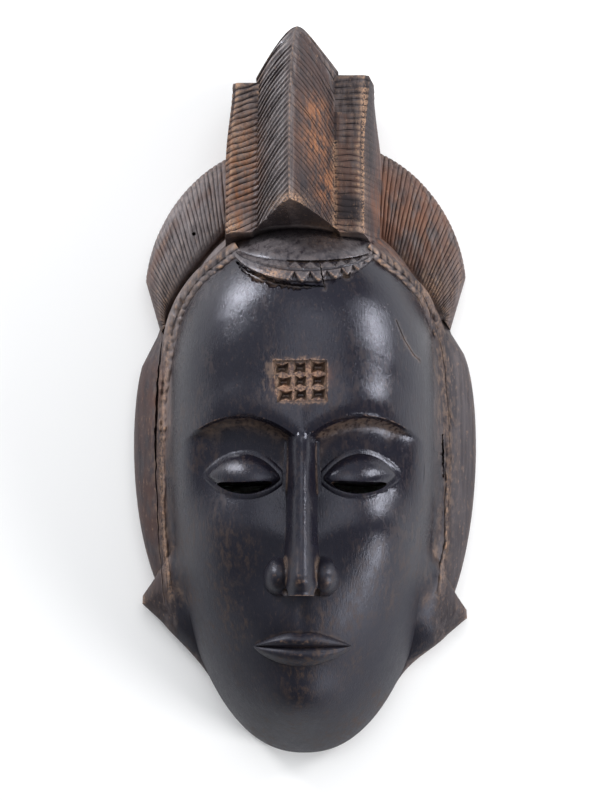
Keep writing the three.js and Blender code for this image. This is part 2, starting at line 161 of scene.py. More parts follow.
def solid(name, top, bottom, finish=polished, wall_rows=(0.5, 1.6, 4.5, 14)):
    """A closed solid between two grids of points, turned right side out. The wall round their edges has
    rows at the given depths below the first grid, as far as it is long enough."""
    rows, columns = top.shape[:2]
    lower = rows * columns
    index = np.arange(lower).reshape(rows, columns)
    quads = np.stack([index[:-1, :-1], index[:-1, 1:], index[1:, 1:], index[1:, :-1]], -1).reshape(-1, 4)
    rim = np.concatenate([index[0, :-1], index[:-1, -1], index[-1, :0:-1], index[:0:-1, 0]])
    high, low = top.reshape(-1, 3)[rim], bottom.reshape(-1, 3)[rim]
    tall = np.linalg.norm(high - low, axis=1, keepdims=True)
    rings = [mix(high, low, np.minimum(depth / tall, (i + 1) / 5)) for i, depth in enumerate(wall_rows)]
    levels = [rim, *(2 * lower + len(rim) * i + np.arange(len(rim)) for i in range(len(rings))), rim + lower]
    walls = [np.stack([a, b, np.roll(b, -1), np.roll(a, -1)], -1) for a, b in zip(levels, levels[1:])]
    faces = np.concatenate([quads, quads[:, ::-1] + lower, *walls])
    points = np.concatenate([top.reshape(-1, 3), bottom.reshape(-1, 3), *rings])
    a, b, c, d = (points[faces[:, k]] for k in range(4))
    if np.sum(a * np.cross(b, c)) + np.sum(a * np.cross(c, d)) < 0:
        faces = faces[:, ::-1]
    mesh = bpy.data.meshes.new(name)
    mesh.vertices.add(len(points))
    mesh.vertices.foreach_set("co", (points * mm).ravel())
    mesh.loops.add(faces.size)
    mesh.loops.foreach_set("vertex_index", np.ascontiguousarray(faces).ravel())
    mesh.polygons.add(len(faces))
    mesh.polygons.foreach_set("loop_start", np.arange(0, faces.size, 4))
    mesh.update(calc_edges=True)
    marks = mesh.attributes.new("finish", "FLOAT", "FACE")
    marks.data.foreach_set("value", np.full(len(faces), float(finish)))
    made = bpy.data.objects.new(name, mesh)
    bpy.context.scene.collection.objects.link(made)
    return made


def carve(body, tool, how):
    """Joins a solid to the body (UNION) or cuts it away (DIFFERENCE), and drops the tool."""
    cut = body.modifiers.new("carve", "BOOLEAN")
    cut.operation = how
    cut.solver = "MANIFOLD"
    cut.object = tool
    view = bpy.context.evaluated_depsgraph_get()
    carved = bpy.data.meshes.new_from_object(body.evaluated_get(view))
    body.modifiers.clear()
    body.data = carved
    bpy.data.objects.remove(tool)


def disc(u, v):
    """Squeezes the square -1 to 1 into the unit disc: u times the root of 1 - v v / 2, and v likewise."""
    return u * np.sqrt(1 - v * v / 2), v * np.sqrt(1 - u * u / 2)


def dome_point(u, v):
    """Wraps the square over the egg without a pole, through the disc, with rows closer near the edge."""
    a, b = disc(u, v)
    out = np.minimum(1, np.hypot(a, b))
    return egg_point(1.4 * out - 0.4 * out**3, np.arctan2(b, a))


def knife_marks(points):
    """The knife's uneven surface: 0.35 mm of slow swell and 0.07 mm of a finer one."""
    return 0.35 * ripple(points, 60, 1) + 0.07 * ripple(points, 16, 2)


face_columns, face_rows = 120, 190
brow_share, features_share = 0.475, 0.36  # where the rows lie closer together, from chin to crown
across = 2 * bunched(face_columns, lambda t: 1 + 0.8 * bell(t - 0.5, 0.3)) - 1
along = 2 * bunched(
    face_rows, lambda t: 1 + 0.8 * bell(t - features_share, 0.24) + 2.2 * bell(t - brow_share, 0.025)
) - 1
u, v = np.meshgrid(across, along)
x, y = dome_point(u, v)
inner = (np.abs(u) < 1) & (np.abs(v) < 1)
y = y + (brow_line(x) - brow_y) * bell(y - brow_y, 34) * (1 - u**6) * inner  # rows follow the brows
face = grid(x, y, ground_z(x, y))
face[..., 2] += knife_marks(face) * inner
mask = solid("carved_mask", face, dropped(face, buried))

# The eyes. The lowered lid is an almond left standing in the socket on a low rim, with a slit cut right
# through under it to look out of.
eye_y = (crown_y + chin_y) / 2
eye_width = 2 * face_half_width / 5
eye_x = eye_width
lid_half_length, lid_rise, lid_drop, lid_height = 20, 12.5, 10.5, 10.5
rim_size, rim_height = 1.17, 1.5
for side in (-1, 1):
    for size, height in ((rim_size, rim_height), (1, lid_height)):
        u, v = np.meshgrid(np.linspace(-1, 1, 50), np.linspace(-1, 1, 30))
        spread = (1 - u * u) ** 0.85 + 0.02
        x = eye_x + lid_half_length * size * u
        y = eye_y + np.where(v > 0, lid_rise, lid_drop) * (size * spread) * v + 1.2 * u
        floor = ground_z(x, y) - 1
        if size > 1:
            z = floor + 1 + height * (1 - np.abs(v) ** 5) * (1 - np.abs(u) ** 8)
        else:
            z = floor + height * np.sqrt(1 - v * v) * (1 - u * u) ** 0.3
            z -= 2.4 * smooth(eye_y - 5, eye_y - 8, y) * (1 - u * u) ** 0.3
        lid = grid(side * x, y, z)
        carve(mask, solid("eyelid", lid, dropped(lid, 40)), "UNION")

# The nose: a long straight bridge that widens evenly to the tip, with a rounded wing on each side and two
# small nostrils drilled in under it.
nose_tip = 25
wing_x, wing_y = 12, nose_base_y + 9
t, u = np.meshgrid(np.linspace(0, 1, 84), np.linspace(-1, 1, 60), indexing="ij")
x = (mix(9, 13.5, t) + 8.5 * bell(t - 0.9, 0.12)) * u
y = mix(brow_y + 4, nose_base_y - 1.5, t)
bridge_half = mix(8, 13, t**1.5)
bridge_height = mix(1, nose_tip, t**1.25) - 2 * (1 - smooth(0, 0.1, t)) - 8 * smooth(0.86, 1, t) ** 2
arch = np.maximum(0, 1 - np.abs(x / bridge_half) ** 2.2) ** 0.75
bridge = ground_z(0, y) + bridge_height - (1 - arch) * (bridge_height + 14)
round_wing = np.maximum(0, 1 - ((np.abs(x) - wing_x) / 8.6) ** 2 - ((y - wing_y) / 11) ** 2)
wing = ground_z(wing_x, wing_y) - 3 + 15.5 * np.sqrt(round_wing)
blend = 1.1  # per mm: how tightly the wing runs into the bridge
z = np.logaddexp(blend * bridge, blend * wing) / blend
nose = grid(x, y, z)
carve(mask, solid("nose", nose, dropped(nose, 40)), "UNION")


def pebble(name, centre, radii, count=14, finish=polished):
    """An ellipsoid: over the unit disc, centre plus and minus the root of 1 less the distance squared."""
    u, v = np.meshgrid(np.linspace(-1, 1, count), np.linspace(-1, 1, count))
    a, b = disc(u, v)
    half = radii[2] * np.sqrt(np.maximum(0, 1.002 - a * a - b * b))
    x, y = centre[0] + radii[0] * a, centre[1] + radii[1] * b
    return solid(name, grid(x, y, centre[2] + half), grid(x, y, centre[2] - half), finish)


for side in (-1, 1):
    nostril_z = ground_z(0.0, nose_base_y) + 6
    carve(mask, pebble("nostril", (side * 7.2, nose_base_y - 1.5, nostril_z), (3.4, 5.5, 5)), "DIFFERENCE")

# The mouth: two full, closed lips with a crisp edge, and a plain groove between them.
lip_half_width = 0.85 * eye_width
u, v = np.meshgrid(np.linspace(-1, 1, 66), np.linspace(0, 1, 18))
parting = mouth_y + 0.9 * u * u
bow = 8.4 * (1 - np.abs(u) ** 1.7) * (1 - 0.15 * bell(u, 0.15)) + 0.15
fullness = (1 - u * u) ** 0.4
for y, height, roll in (
    (parting + bow * v, 6.0, np.sin(np.pi * (0.1 + 0.84 * v**0.8)) ** 0.7),
    (parting - (10 * (1 - u * u) ** 0.75 + 0.15) * v, 6.8, np.sin(np.pi * (0.1 + 0.8 * v)) ** 0.7),
):
    x = lip_half_width * u
    lip = grid(x, y, ground_z(x, y) - 1 + (height + 1) * fullness * roll)
    carve(mask, solid("lip", lip, dropped(lip, 20)), "UNION")

# The side flanges: flat ledges outside the strip of hair, with a thin bevel round the edge and a small
# pointed barb at the foot. The left one has a square shoulder, and the right barb sits lower.


def bezier(points, t):
    """A cubic Bezier curve through the shares t, as a pair of x and y arrays."""
    weights = [(1 - t) ** 3, 3 * t * (1 - t) ** 2, 3 * t * t * (1 - t), t**3]
    return np.array([sum(w * p[axis] for w, p in zip(weights, points)) for axis in (0, 1)])


plate_edge = 13
jaw_angle, shoulder_angle = -0.29 * np.pi, 0.22 * np.pi
root_radius = 0.86  # the flange starts inside the dome, at this share of the way out
flange_share = [0, 0.14, 0.21, 0.27, 0.33, 0.39, 0.45, 0.55, 0.62, 0.68, 0.74]
flange_share = np.array(flange_share + [0.8, 0.85, 0.9, 0.93, 0.955, 0.975, 0.99, 1])
flange_profile = [(0, 56), (0.14, 46.6), (0.21, 41.8), (0.27, 37.4), (0.33, 33.6), (0.39, 30.6), (0.45, 28.6)]
flange_profile += [(0.55, 26.5), (0.8, 21.5), (0.9, 18.6), (0.96, 16.4), (0.985, 15), (1, plate_edge)]
for side in (-1, 1):
    barb_drop = 0 if side < 0 else 8
    notch = (83.5, -103.5 - barb_drop)
    bow = [(91, 15), (97.5, -10), (98, -66)] if side < 0 else [(89, 22), (98, 2), (99.5, -66)]
    jaw, above = np.array(egg_point(1, jaw_angle)), np.array(egg_point(1, jaw_angle + 0.06))
    barb = (79.5, -127.5 - barb_drop * 0.9)
    long_t, short_t, two = np.linspace(0, 1, 90), np.linspace(0, 1, 34), np.linspace(0, 1, 8)[1:-1]
    under = bezier([barb, (72, -137 - barb_drop * 0.8), mix(jaw, above, 2.2), jaw], short_t)
    tip_top, tip_foot = (90.2, -113 - barb_drop), (90.4, -117.5 - barb_drop)
    start = [np.interp(np.append(0, 1 + two), [0, 1, 2], c) for c in zip((76, 52), (81, 35), bow[0])]
    point = [np.interp(np.append(two, [1, 2]), [0, 1, 2], c) for c in zip(notch, tip_top, tip_foot)]
    fall = [np.interp(two, [0, 1], c) for c in zip(tip_foot, barb)]
    outline = np.concatenate([start, bezier([*bow, notch], long_t), point, fall, under], axis=1)[..., None]
    step = [[0], 1 + two, 2 + 12 * long_t, 14 + two, [15, 16], 16 + two, 17 + 4 * short_t]
    step = np.concatenate(step)[:, None]
    gone = step / step[-1]  # from 0 at the shoulder to 1 at the jaw
    root = np.array(egg_point(root_radius, mix(shoulder_angle, jaw_angle, gone)))
    reach = np.hypot(*(outline - root))
    by_notch = (step > 9) & (step < 15.5)
    cut_back = np.where(by_notch, np.minimum(1, reach / 27), 1)
    heights = np.interp(flange_share * cut_back, *zip(*flange_profile))
    heights = heights - 7 * (1 - cut_back) * smooth(0.93, 1, flange_share)
    low = mix(0.55, 1, smooth(0, 0.16, 1 - gone) * smooth(-0.03, 0.1, gone))
    ledge = grid(*mix(root, outline, flange_share), low * heights)
    ledge[..., 0] *= side
    ledge[..., 2] += 0.2 * ripple(ledge, 18, 5 + side)
    carve(mask, solid("flange", ledge, dropped(ledge, buried), 0.6), "UNION")

# The lobes: a fan of hair on each side of the crest, lined with cuts from the hairline out to the edge.


def cut_rows(count):
    """Row places over `count` grooves: six to a groove, closer together near its foot."""
    rows = np.arange(count)[:, None] + [0, 0.1, 0.22, 0.5, 0.78, 0.9]
    return np.append(rows.ravel(), count)[:, None]


def cut_shape(place):
    """A narrow V at each whole number of `place`: e to the minus distance over 0.14."""
    return np.exp(-np.abs(place - np.round(place)) / 0.14)


def round_cut(place):
    """Grooves between rounded ridges: 1 in each groove, and 0 on each ridge, half-way between."""
    return 1 - np.abs(np.sin(np.pi * place)) ** 0.7


def by_hand(place, share, seed):
    """Uneven hand work, about -1 to 1: for each groove three cosines along it with random sizes and phases,
    and straight blending from each groove to the next."""
    rng = np.random.default_rng(seed)
    count = int(place.max()) + 2
    wave = np.arange(1, 4)[:, None, None]
    size, phase = rng.normal(0, 0.5, (3, count, 1)), rng.uniform(0, 6.28, (3, count, 1))
    table = (size * np.cos(np.pi * wave * share + phase)).sum(0)
    first = np.floor(place).astype(int)[:, 0]
    return mix(table[first], table[first + 1], place - first[:, None])


lobe_grooves = 36
lobe_share = [-0.4, -0.03, 0.02, 0.05, 0.08, 0.11, 0.135, 0.16, 0.19, 0.22, 0.26, 0.32]
lobe_share = np.array(lobe_share + [0.42, 0.52, 0.62, 0.72, 0.81, 0.88, 0.93, 0.97, 0.99, 1])
arc_share = 0.76  # the curved part of the edge, before the straight end at the temple
for side in (-1, 1):
    place = cut_rows(lobe_grooves)
    t = place / lobe_grooves
    gutter = 0.16 if side < 0 else 0.05
    gutter_heights = [18, 18.5, 23, 26] if side < 0 else [21, 24.8, 25.6, 26.5]
    profile = [*zip([-0.4, gutter - 0.03, gutter, gutter + 0.04], gutter_heights)]
    profile += [(0.25, 27.2), (0.5, 26.8), (0.85, 21.5), (0.97, 16), (1, plate_edge)]
    share, heights = lobe_share, np.interp(lobe_share, *zip(*profile))
    t = t + 0.16 / lobe_grooves * by_hand(place, share, 40 + side) * (place > 0) * (place < lobe_grooves)
    arc = bezier([(42, 135.2), (67, 124), (87.2, 96), (90.2, 65)], np.minimum(1, t / arc_share))
    past = np.maximum(0, (t - arc_share) / (1 - arc_share))
    outer = np.where(past > 0, [mix(90.2, 81.5, past), mix(65, 35.5, past)], arc)
    hairline = bezier([(40, 88), (57, 71), (69.5, 54.5), (77.5, 40)], t + 0.9 * t * t * (1 - t))
    depth = (0.8 if side < 0 else 0.95) * cut_shape(place) * (0.85 + 0.3 * by_hand(place, share, 50 + side))
    depth = depth * smooth(gutter - 0.03, gutter + 0.03, share)
    reach = share - 0.008 * cut_shape(place) * (share == 1)
    z = plate_edge + (heights - plate_edge) * (1 - 0.35 * smooth(0.8, 1, t)) - depth
    x, y = mix(hairline[0], outer[0], reach), mix(hairline[1], outer[1], reach)
    lobe = grid(0.986 * -x, y - 2, z) if side < 0 else grid(x, y, z)
    lobe[..., 2] += 0.25 * ripple(lobe, 22, 9 + side)
    tucked = lobe[:1] - [side * 8, 0, 1]
    lobe = np.concatenate([tucked, lobe])
    carve(mask, solid("lobe", lobe, dropped(lobe, buried), hair), "UNION")

# The crest: a block that leans a little to the viewer's left as it comes forward. A tress stands on each
# side of it, lined across its front, and between them a keel, lined in chevrons, comes to a ridge. Its
# underside is a shallow vault, and the ridge's lower end is worn round.
crest_lean = -0.056  # mm to the right for each mm forward
tress_front, tress_back = 68, 25  # how far forward the tresses stand, low down and at their tops
tress_inside, tress_low_y = 20.5, 74
keel_front, keel_back, keel_half = 114, 45, 22.5  # the same for the keel, and half its width


def fallback(y):
    """How far forward the crest stands at height y, from 1 below the middle to 0 at its top: an arc."""
    return np.sqrt(1 - np.clip((y - 127) / 76, 0, 1) ** 2)


def tress_edge(side, y):
    """The tress's outer edge: the left one narrows towards the top, and the right one is straight."""
    return np.where(side < 0, mix(38.6, 35.4, smooth(125, 168, y)), mix(37.4, 40, smooth(130, 172, y)))


def tress_foot(side, y):
    """Where the crest's side meets the lobe, which spreads towards the forehead."""
    return mix(np.where(side < 0, 44, 43.6), np.where(side < 0, 37, 39), smooth(118, 170, y))


t = np.linspace(0, 1, 30)[:, None]
sides = np.array([-1, -0.5, 0.5, 1])
y = mix(72, 169, t)
z = tress_back + (tress_front - tress_back) * fallback(y) - 5
core = grid(sides * tress_edge(sides, y) + crest_lean * z, y + 1.8 * t * sides, z)
crest = solid("crest", core, grid(sides * tress_foot(sides, y), core[..., 1], buried), hair)

tress_grooves = 28
for side in (-1, 1):
    place = cut_rows(tress_grooves)
    t = place / tress_grooves
    share = np.array([0, 0.08, 0.18, 0.3, 0.42, 0.54, 0.66, 0.76, 0.84, 0.9, 0.95, 0.98, 1])
    top_y = 167.8 if side < 0 else 172.2
    slope = np.tan(np.radians(mix(23, 17, t) if side < 0 else mix(-8, 3, t))) * (1 - smooth(0.97, 1, t))
    spacing = (top_y - tress_low_y) / tress_grooves
    uneven = 0.11 * spacing * by_hand(place, share, 60 + side) * (place > 0) * (t < 1)
    middle = mix(tress_low_y, top_y, t) + uneven
    edge = tress_edge(side, middle)
    a = mix(tress_inside, edge, share)
    y = middle + slope * side * (a - 29.5)
    depth = round_cut(place) * ((0.8 if side < 0 else 0.62) + 0.28 * by_hand(place, share, 70 + side))
    z = tress_back + (tress_front - tress_back) * fallback(y)
    z = z - depth - 3 * smooth(0.78, 1, share) ** 1.3
    a = a - 0.5 * round_cut(place) * smooth(0.8, 1, share)
    tress = grid(side * a + crest_lean * z, y, z)
    tress[..., 2] += 0.25 * ripple(tress, 15, 30 + side)
    foot = np.where(share == 1, tress_foot(side, y), a)
    footing = grid(side * foot, y, np.where(share == 1, 22, buried))
    carve(crest, solid("tress", tress, footing, hair), "UNION")

keel_grooves = 37
place = cut_rows(keel_grooves)
t = place / keel_grooves
f = np.sign(np.linspace(-1, 1, 39)) * np.abs(np.linspace(-1, 1, 39)) ** 1.15
t = t + 0.15 / keel_grooves * by_hand(place, f, 81) * (place > 0) * (place < keel_grooves)
spread = keel_half * f
peak = 200 - np.where(f < 0, 1.5, 1.3) * (np.hypot(spread, 3.2) - 3.2)
hanging = mix(197, 80, t) - np.where(f < 0, 23, 31) * (0.5 * np.abs(f) + 0.5 * f * f)
y = mix(peak, hanging, smooth(0, 0.09, t))
ridge = keel_back + (keel_front - keel_back) * np.sqrt(1 - np.clip((y - 124) / 77, 0, 1) ** 2)
flank = 22 + (tress_front - 24) * fallback(y)
z = mix(ridge, flank, np.abs(f) ** 0.9)
worn_end = smooth(0.765, 0.845, t) * bell(f, 0.22)
grooves = np.where(f < 0, 1.9 * (0.5 + 0.5 * np.cos(2 * np.pi * place)), 1.15 * round_cut(place))
depth = grooves * (1 + 0.25 * by_hand(place, f, 82)) * (1 - 0.85 * worn_end)
z = z - depth * smooth(0, 0.04, t) - 4.5 * worn_end**2 - 2 * (t == 0)
keel = grid(spread + crest_lean * z, y, z)
keel[..., 2] += 0.25 * ripple(keel, 20, 33) * (t > 0) - 0.4
carve(crest, solid("keel", keel, dropped(keel, buried), hair), "UNION")

vault_half, vault_rise = 24, 5
columns = [-100, -48, -34, *np.linspace(-vault_half, vault_half, 25), 34, 48, 100]
z, x = np.meshgrid(np.linspace(10, 130, 41), columns, indexing="ij")
vault = vault_rise * np.sqrt(np.maximum(0, 1 - (x / vault_half) ** 2))
ceiling = grid(x + crest_lean * z, 84.5 + 0.22 * (z - tress_front) + vault, z)
carve(crest, solid("underside", ceiling, ceiling - [0, 120, 0], 0.45), "DIFFERENCE")
behind = grid(np.array([[-100, 100], [-100, 100]]), np.array([[150], [230]]), np.array([[-1], [28]]))
carve(crest, solid("back bevel", behind, dropped(behind, -60), hair), "DIFFERENCE")
carve(mask, crest, "UNION")

# The strip of hair round the face: two plaited strands from the diadem down past the temples, worn away
# below to a narrow ridge, with a drying crack along its outer side.


def along_knots(knots, count, softness):
    """Points evenly spaced along straight lines between the knots, averaged over their neighbours to round
    the corners. The second array holds the direction at each point, and the third the distance gone."""
    step = np.concatenate([[0], np.cumsum(np.linalg.norm(np.diff(knots, axis=0), axis=1))])
    gone = np.linspace(0, step[-1], count)
    path = np.stack([np.interp(gone, step, knots[:, axis]) for axis in (0, 1)], 1)
    kernel = np.hanning(softness) / np.hanning(softness).sum()
    padded = np.pad(path, ((softness // 2, softness // 2), (0, 0)), mode="reflect", reflect_type="odd")
    path = np.stack([np.convolve(padded[:, axis], kernel, "valid") for axis in (0, 1)], 1)
    heading = np.gradient(path, axis=0)
    return path, heading / np.linalg.norm(heading, axis=1, keepdims=True), gone[:, None]


def draped(body, x, y):
    """Height of the body's surface at each x and y, found by rays shot straight down."""
    bpy.context.view_layer.update()
    surface = BVHTree.FromObject(body, bpy.context.evaluated_depsgraph_get())
    hits = [surface.ray_cast((a * mm, b * mm, 1), (0, 0, -1))[0] for a, b in zip(x.ravel(), y.ravel())]
    return np.array([0 if hit is None else hit.z / mm for hit in hits]).reshape(x.shape)


strip_out = 1.4  # how much further out the right strip runs
strip_xs, strip_ys = [74.4, 77.8, 79, 77.6, 73], [29, -5, -45, -85, -121]  # its line below the temple
for side in (-1, 1):
    out = strip_out if side > 0 else 0
    bend = [(35, 76), (53.9, 63.2), (66.2 + 0.7 * out, 50.5 + 0.4 * out)]
    straight = [*zip(np.add(strip_xs, [out, out, out, out, 0]), strip_ys)]
    path, heading, gone = along_knots(np.array(bend + straight), 300, 37)
    path = path + 0.45 * ripple(grid(path[:, 0], path[:, 1], 0), 16, 44 + side)[:, None] * [1, 0]
    share = np.linspace(-1, 1, 15)
    plaited = smooth(12, 40, path[:, 1:])
    half = mix(2.0, (4.2 + 1.2 * plaited) * (1 if side < 0 else 0.78), smooth(-55, 5, path[:, 1:]))
    x = path[:, :1] - heading[:, 1:] * share * half
    y = path[:, 1:] + heading[:, :1] * share * half
    level = np.maximum(28.4, dome_z(0.968 * path[:, 0], 0.98 * path[:, 1]))[:, None] - 2.6 * share
    flush = 1 - (smooth(-50, -15, y) if side < 0 else smooth(0, 64, y))
    low_end = smooth(-121, -100, y)
    rough = ripple(grid(x, y, 0), 4.5, 14 + side)
    strands = 0.6 + 1.0 * np.abs(np.sin(0.5 * np.pi * np.clip(share * 1.04, -1, 1) * 2)) ** 0.6
    slant = gone / 4.7 + 0.9 * np.abs(share) + 0.12 * rough
    cuts = 0.8 * (0.5 + 0.5 * np.cos(2 * np.pi * slant)) ** 4
    cuts = cuts * (0.75 + 0.4 * ripple(grid(x, y, 9), 14, 24 + side))
    ridge = 0.9 * bell(share + 0.2, 0.5) - 0.9 * bell(share - 0.3, 0.16)
    relief = mix(ridge + 0.8 * rough, strands - cuts + 0.4 * rough, plaited)
    z = level + relief - 4 * np.abs(share) ** 5
    resting = draped(mask, side * x, y) - 0.7 + (1.3 + 0.55 * relief) * (1 - share**4) * low_end
    braid = grid(side * x, y, mix(z, resting, flush))
    carve(mask, solid("strip", braid, braid - [0, 0, 13], 0.8), "UNION")

# The crescent diadem at the top of the forehead, and the smooth cap that shows above it under the crest.
# A line parts its two bands, which are notched in triangles on the right and plain on the left.
t = np.linspace(0, 1, 300)[:, None]
lower = bezier([(-40, 78), (-32, 47.5), (30, 47.5), (39.5, 72.5)], t)
upper = bezier([(-39, 81), (-20, 92), (20, 92), (39, 80)], t)
share = [0, 0.015, 0.04, 0.08, 0.12, 0.155, 0.18, 0.2, 0.22, 0.245, 0.27, 0.3, 0.33, 0.355]
share = np.array(share + [0.38, 0.41, 0.5, 0.75, 1])
low_band = [(0, -3), (0.015, 3), (0.045, 4.6), (0.18, 4.6)]
high_band = [(0.205, 2.8), (0.24, 4.2), (0.33, 3.6)]
cap = [(0.36, 2), (0.4, 3), (0.8, 2.8), (1, 1)]
heights = np.interp(share, *zip(*low_band, *high_band, *cap))
x, y = mix(lower[0], upper[0], share), mix(lower[1], upper[1], share)
z = dome_z(x, y) + heights * np.minimum(1, 0.4 + 8 * np.minimum(t, 1 - t))
notched = smooth(0.4, 0.45, t) * (1 - smooth(0.95, 0.97, t))
tooth = np.interp(lower[0], [-16.5, -8.2, 0, 9.2, 18.6, 25, 31, 37], np.arange(8))
beat = 1 - 2 * np.abs(tooth - np.round(tooth))  # 1 at a tooth, 0 half-way between two
slope_share = 0.35  # of the way from a pit's edge to its middle, over which it gets deep
low_pit = np.clip((1 - share / 0.195) * 1.1 - beat, 0, slope_share) / slope_share * (share < 0.195)
high_pit = np.clip((share - 0.225) / 0.13 * 1.1 - (1 - beat), 0, slope_share) / slope_share
high_pit = high_pit * (share > 0.225) * (share < 0.36)
z = z - notched * (2.6 * low_pit + 2 * high_pit)
crescent = grid(x, y, z)
crescent[..., 2] += 0.2 * ripple(crescent, 12, 21)
carve(mask, solid("diadem", crescent, crescent - [0, 0, 14], 0.12), "UNION")
chips = [(-18.5, 59.3, 76, 6.5, 3.2, 3), (-11, 56.8, 77, 4.5, 2.2, 2.2), (24, 59.5, 75, 3.4, 2.2, 2.2)]
for x, y, z, *radii in chips:
    carve(mask, pebble("chip", (x, y, z + 5.5), radii, 10, 0.9), "DIFFERENCE")

# The scar panel on the forehead: a sunk square with nine pits, three by three, between raised bars.
hand = np.random.default_rng(11)
panel_x, panel_y, panel_width, panel_height, panel_sunk = -1, 0.8, 29, 22.5, 1
panel_skew = 3.2  # how far in its lower left corner lies
u, v = np.meshgrid(np.linspace(-0.5, 0.5, 9), np.linspace(-0.5, 0.5, 9))
x, y = panel_x + panel_width * u + panel_skew * (0.5 - u) * (0.5 - v), panel_y + panel_height * v
sunk = grid(x, y, ground_z(x, y) - panel_sunk)
carve(mask, solid("panel", sunk, sunk + [0, 0, 20], 0.7), "DIFFERENCE")
for i in (-1, 0, 1):
    for j in (-1, 0, 1):
        u, v = np.meshgrid([-1, -0.5, 0, 0.5, 1], [-1, 1])
        jog = hand.uniform(-0.6, 0.6, (3, 2, 5))
        x, y = panel_x + (-8.6 - 1.1 * j, 0.3 - 0.3 * j, 10)[i + 1], panel_y + 7.3 * j + 0.35 * i
        middle = ground_z(x, y)
        narrowed = 1 - 0.36 * (1 - np.abs(u))
        reach = 4.3 if i == 0 else 5.2
        pit = grid(x + 0.32 * reach * u + 0.4 * jog[0], y + 0.5 * v * narrowed, middle - 5)
        mouth = grid(x + reach * u + jog[1], y + (4.6 * narrowed + 0.5 * jog[2]) * v, middle + 1.4)
        carve(mask, solid("pit", pit, mouth, 0.15), "DIFFERENCE")

# Wear and damage. At the left temple a flat tab is left standing beside the strip, and on the right there is
# a slit with a worn knob. Cracks run down outside the strips, two nails were pulled from the left side, and
# the forehead has one long scratch.


def cleft(name, points, half, top_z, low_z, seed, finish):
    """A ragged knife cut along points: `half` wide to each side at the top, and almost closed at its foot.
    The widths and the two heights are lists, spread evenly along it, or numbers."""
    path, heading, gone = along_knots(np.array(points, float), 90, 9)
    rng = np.random.default_rng(seed)
    ragged = np.interp(gone, np.linspace(0, gone[-1, 0], 60), rng.uniform(0.55, 1.25, 60))
    width, top_z, low_z = (
        np.interp(gone / gone[-1], np.linspace(0, 1, np.size(knots)), np.atleast_1d(knots))
        for knots in (half, top_z, low_z)
    )
    width = width * ragged
    share = np.array([-1, 0, 1])
    wobble = 0.35 * np.interp(gone, np.linspace(0, gone[-1, 0], 40), rng.uniform(-1, 1, 40))
    x = path[:, :1] - heading[:, 1:] * (share * width + wobble)
    y = path[:, 1:] + heading[:, :1] * (share * width + wobble)
    foot_x = path[:, :1] - heading[:, 1:] * (share * width * 0.15 + wobble)
    foot_y = path[:, 1:] + heading[:, :1] * (share * width * 0.15 + wobble)
    return solid(name, grid(x, y, top_z), grid(foot_x, foot_y, low_z), finish)


left_crack = [(-79.2, 32), (-81.6, 5), (-82.4, -14), (-82.2, -50), (-80.6, -86), (-77.2, -118)]
right_crack = [(66, 52.5), (73, 36), (77.6, 18), (80, -10), (80.8, -30), (81, -56), (80.6, -82)]
slit = [(76.8, -24), (76.9, -36), (77.4, -48)]
split = [(9.5, 66), (11, 58), (13, 50.5)]
rim = [(-36.5, 68.6), (-31, 62.6), (-24, 58), (-15, 54.6), (-5, 52.8), (4, 52.6), (12, 53.2)]
rim_z = dome_z(*np.array(rim).T)
for name, points, half, top_z, low_z, seed, finish in (
    ("crack", left_crack, [0.5, 1.5, 1.7, 0.9, 0.7, 0.5, 0.3], 36, 19, 3, hair),
    ("crack", right_crack, [0.15, 0.3, 0.45, 0.35, 0.22, 0.16, 0.12], 44, 24, 4, hair),
    ("slit", slit, [0.5, 1.2, 0.6], 40, 20, 5, hair),
    ("diadem crack", split, [0.5, 0.6, 0.3], 90, 74, 6, hair),
    ("gutter", rim, [0.6, 2.2, 3, 3, 2.6, 1.8, 0.4], rim_z + 1.6, rim_z - 3.4, 7, polished),
):
    carve(mask, cleft(name, points, half, top_z, low_z, seed, finish), "DIFFERENCE")
scratch = [(51.1, 35.6), (52.3, 32.5), (55.6, 24.9), (60.5, 17.3), (64.5, 14.3)]
path, heading, gone = along_knots(np.array(scratch), 60, 9)
share = np.array([-1, 0, 1])
scratch_half, scratch_depth = 0.35, 0.8
x = path[:, :1] - heading[:, 1:] * share * scratch_half
y = path[:, 1:] + heading[:, :1] * share * scratch_half
nick = grid(x, y, ground_z(x, y) - scratch_depth * (share == 0) + 0.15 * np.abs(share))
nick[..., 2] += knife_marks(nick)
carve(mask, solid("scratch", nick, nick + [0, 0, 3], 1.5), "DIFFERENCE")
u, v = np.meshgrid(np.linspace(0, 1, 24), np.linspace(0, 1, 8), indexing="ij")
x, y = -79.8 + 2.2 * smooth(0.2, 1, u) + 7.2 * v, mix(-15, -47.5, u)
tab = grid(x, y, 29.6 + 1.4 * v * (1 - v) - 1.5 * u)
tab[..., 2] += 0.35 * ripple(tab, 5, 61)
carve(mask, solid("tab", tab, dropped(tab, 18), 0.9), "UNION")
carve(mask, pebble("knob", (75.6, -44, 27.5), (2.8, 5, 3.2), 12, 0.9), "UNION")
for x, y, z in ((-61.4, 88.2, 27), (-78.7, 33.6, 22)):
    carve(mask, pebble("nail hole", (x, y, z), (1.1, 1.1, 6), 8, hair), "DIFFERENCE")

